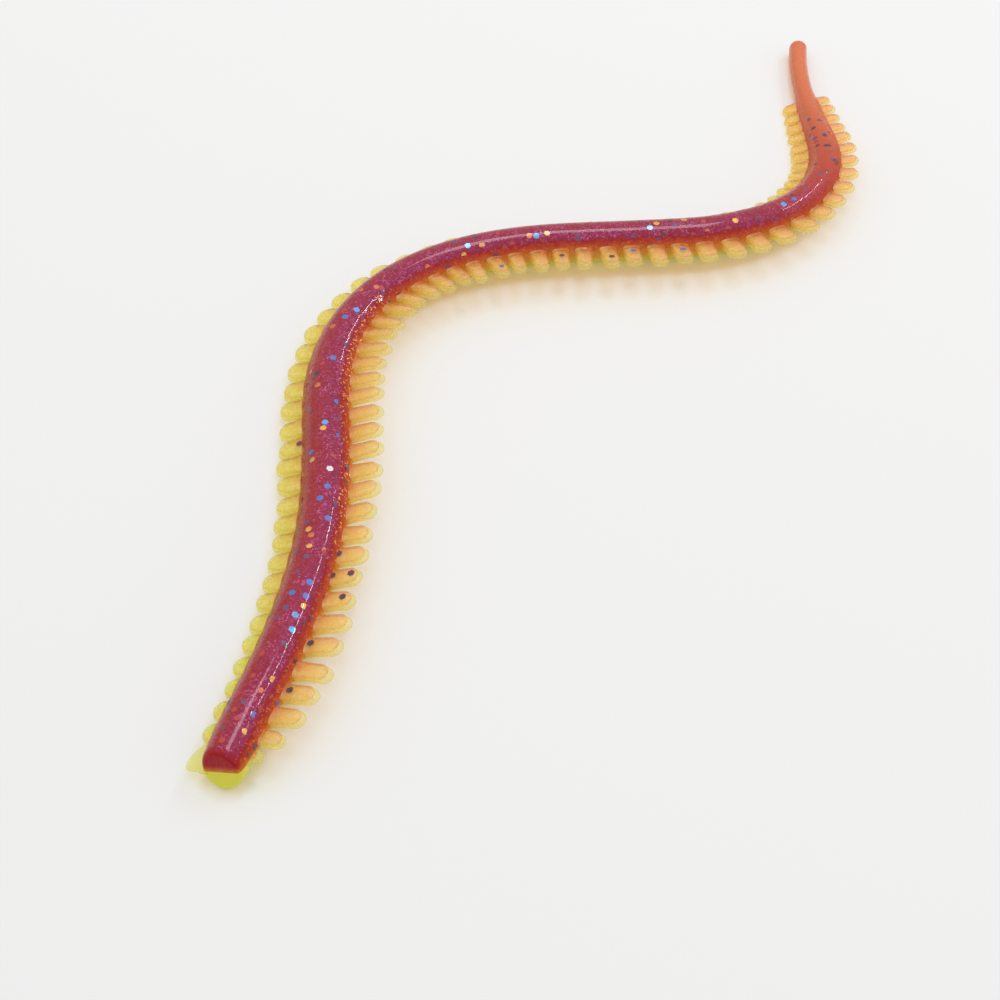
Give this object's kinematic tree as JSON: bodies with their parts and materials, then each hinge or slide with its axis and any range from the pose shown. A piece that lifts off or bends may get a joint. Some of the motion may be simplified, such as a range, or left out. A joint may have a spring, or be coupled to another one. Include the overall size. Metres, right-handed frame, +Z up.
{
  "type": "soft plastic fishing worm",
  "caption": "Soft two-colour fishing worm lying in a loose S, blunt at the head, thin at the tail, with a row of short legs down each flank.",
  "frame": {"origin": "on the table, under the centre of the worm's box", "axes": "+Z up, +Y roughly from the blunt head to the thin tail, +X to the worm's right at the head"},
  "size_m": [0.0868, 0.1414, 0.0057],
  "materials": {
    "back": "glossy",
    "belly": "glossy"
  },
  "bodies": {
    "link_01": {"back_01": "back", "belly_01": "belly"},
    "link_02": {"back_02": "back", "belly_02": "belly"},
    "link_03": {"back_03": "back", "belly_03": "belly"},
    "link_04": {"back_04": "back", "belly_04": "belly"},
    "link_05": {"back_05": "back", "belly_05": "belly"},
    "link_06": {"back_06": "back", "belly_06": "belly"},
    "link_07": {"back_07": "back", "belly_07": "belly"},
    "link_08": {"back_08": "back", "belly_08": "belly"},
    "link_09": {"back_09": "back", "belly_09": "belly"},
    "link_10": {"back_10": "back", "belly_10": "belly"},
    "link_11": {"back_11": "back", "belly_11": "belly"},
    "link_12": {"back_12": "back", "belly_12": "belly"},
    "link_13": {"back_13": "back", "belly_13": "belly"},
    "link_14": {"back_14": "back", "belly_14": "belly"},
    "link_15": {"back_15": "back", "belly_15": "belly"},
    "link_16": {"back_16": "back", "belly_16": "belly"},
    "link_17": {"back_17": "back", "belly_17": "belly"},
    "link_18": {"back_18": "back", "belly_18": "belly"},
    "link_19": {"back_19": "back", "belly_19": "belly"},
    "link_20": {"back_20": "back", "belly_20": "belly"}
  },
  "joints": [
    {"name": "side_bend_01", "type": "hinge", "parent": "link_01", "child": "link_02", "pos_m": [-0.03661, -0.06043, 0.00271], "axis": [0.0027, 0.0083, 1], "range_deg": [-14, 22], "stiffness_Nm_per_rad": 0.000825},
    {"name": "side_bend_02", "type": "hinge", "parent": "link_02", "child": "link_03", "pos_m": [-0.03376, -0.05086, 0.00277], "axis": [0.0022, 0.0084, 1], "range_deg": [-14, 19], "stiffness_Nm_per_rad": 0.000907},
    {"name": "lift_bend_03", "type": "hinge", "parent": "link_03", "child": "link_04", "pos_m": [-0.03171, -0.04107, 0.00283], "axis": [0.9885, -0.1514, 0], "range_deg": [-25, 25], "stiffness_Nm_per_rad": 0.000983},
    {"name": "side_bend_04", "type": "hinge", "parent": "link_04", "child": "link_05", "pos_m": [-0.03086, -0.03112, 0.00284], "axis": [0.0001, 0.0087, 1], "range_deg": [-15, 14], "stiffness_Nm_per_rad": 0.001},
    {"name": "side_bend_05", "type": "hinge", "parent": "link_05", "child": "link_06", "pos_m": [-0.03115, -0.02112, 0.00284], "axis": [-0.0005, 0.0087, 1], "range_deg": [-14, 15], "stiffness_Nm_per_rad": 0.001},
    {"name": "lift_bend_06", "type": "hinge", "parent": "link_06", "child": "link_07", "pos_m": [-0.03174, -0.01114, 0.00284], "axis": [0.9999, 0.0137, 0], "range_deg": [-25, 25], "stiffness_Nm_per_rad": 0.001},
    {"name": "side_bend_07", "type": "hinge", "parent": "link_07", "child": "link_08", "pos_m": [-0.03056, -0.00124, 0.00284], "axis": [0.0023, 0.0084, 1], "range_deg": [-9, 20], "stiffness_Nm_per_rad": 0.001},
    {"name": "side_bend_08", "type": "hinge", "parent": "link_08", "child": "link_09", "pos_m": [-0.02619, 0.00768, 0.00284], "axis": [0.0053, 0.007, 1], "range_deg": [-9, 20], "stiffness_Nm_per_rad": 0.001},
    {"name": "lift_bend_09", "type": "hinge", "parent": "link_09", "child": "link_10", "pos_m": [-0.01878, 0.0143, 0.00284], "axis": [0.5113, -0.8594, 0], "range_deg": [-25, 25], "stiffness_Nm_per_rad": 0.001},
    {"name": "side_bend_10", "type": "hinge", "parent": "link_10", "child": "link_11", "pos_m": [-0.00954, 0.01804, 0.00284], "axis": [0.0085, 0.0022, 1], "range_deg": [-10, 19], "stiffness_Nm_per_rad": 0.001},
    {"name": "side_bend_11", "type": "hinge", "parent": "link_11", "child": "link_12", "pos_m": [0.00033, 0.01955, 0.00284], "axis": [0.0087, 0.0007, 1], "range_deg": [-11, 17], "stiffness_Nm_per_rad": 0.001},
    {"name": "lift_bend_12", "type": "hinge", "parent": "link_12", "child": "link_13", "pos_m": [0.01031, 0.02018, 0.00284], "axis": [0.0659, -0.9978, 0], "range_deg": [-25, 25], "stiffness_Nm_per_rad": 0.001},
    {"name": "side_bend_13", "type": "hinge", "parent": "link_13", "child": "link_14", "pos_m": [0.02025, 0.02117, 0.00284], "axis": [0.0086, 0.0017, 1], "range_deg": [-16, 13], "stiffness_Nm_per_rad": 0.001},
    {"name": "side_bend_14", "type": "hinge", "parent": "link_14", "child": "link_15", "pos_m": [0.02949, 0.02483, 0.00272], "axis": [0.0073, 0.0048, 1], "range_deg": [-20, 13], "stiffness_Nm_per_rad": 0.000839},
    {"name": "lift_bend_15", "type": "hinge", "parent": "link_15", "child": "link_16", "pos_m": [0.03605, 0.03177, 0.00244], "axis": [0.8687, -0.4953, 0], "range_deg": [-25, 25], "stiffness_Nm_per_rad": 0.000535},
    {"name": "side_bend_16", "type": "hinge", "parent": "link_16", "child": "link_17", "pos_m": [0.03866, 0.04003, 0.00211], "axis": [0.0007, 0.0087, 1], "range_deg": [-22, 13], "stiffness_Nm_per_rad": 0.000293},
    {"name": "side_bend_17", "type": "hinge", "parent": "link_17", "child": "link_18", "pos_m": [0.03828, 0.04803, 0.00177], "axis": [-0.0009, 0.0087, 1], "range_deg": [-20, 18], "stiffness_Nm_per_rad": 0.000139},
    {"name": "lift_bend_18", "type": "hinge", "parent": "link_18", "child": "link_19", "pos_m": [0.03761, 0.05552, 0.00154], "axis": [0.9979, 0.0654, 0], "range_deg": [-25, 25], "stiffness_Nm_per_rad": 0.000077},
    {"name": "side_bend_19", "type": "hinge", "parent": "link_19", "child": "link_20", "pos_m": [0.03742, 0.06309, 0.00148], "axis": [0.0002, 0.0087, 1], "range_deg": [-30, 30], "stiffness_Nm_per_rad": 0.000066}
  ]
}
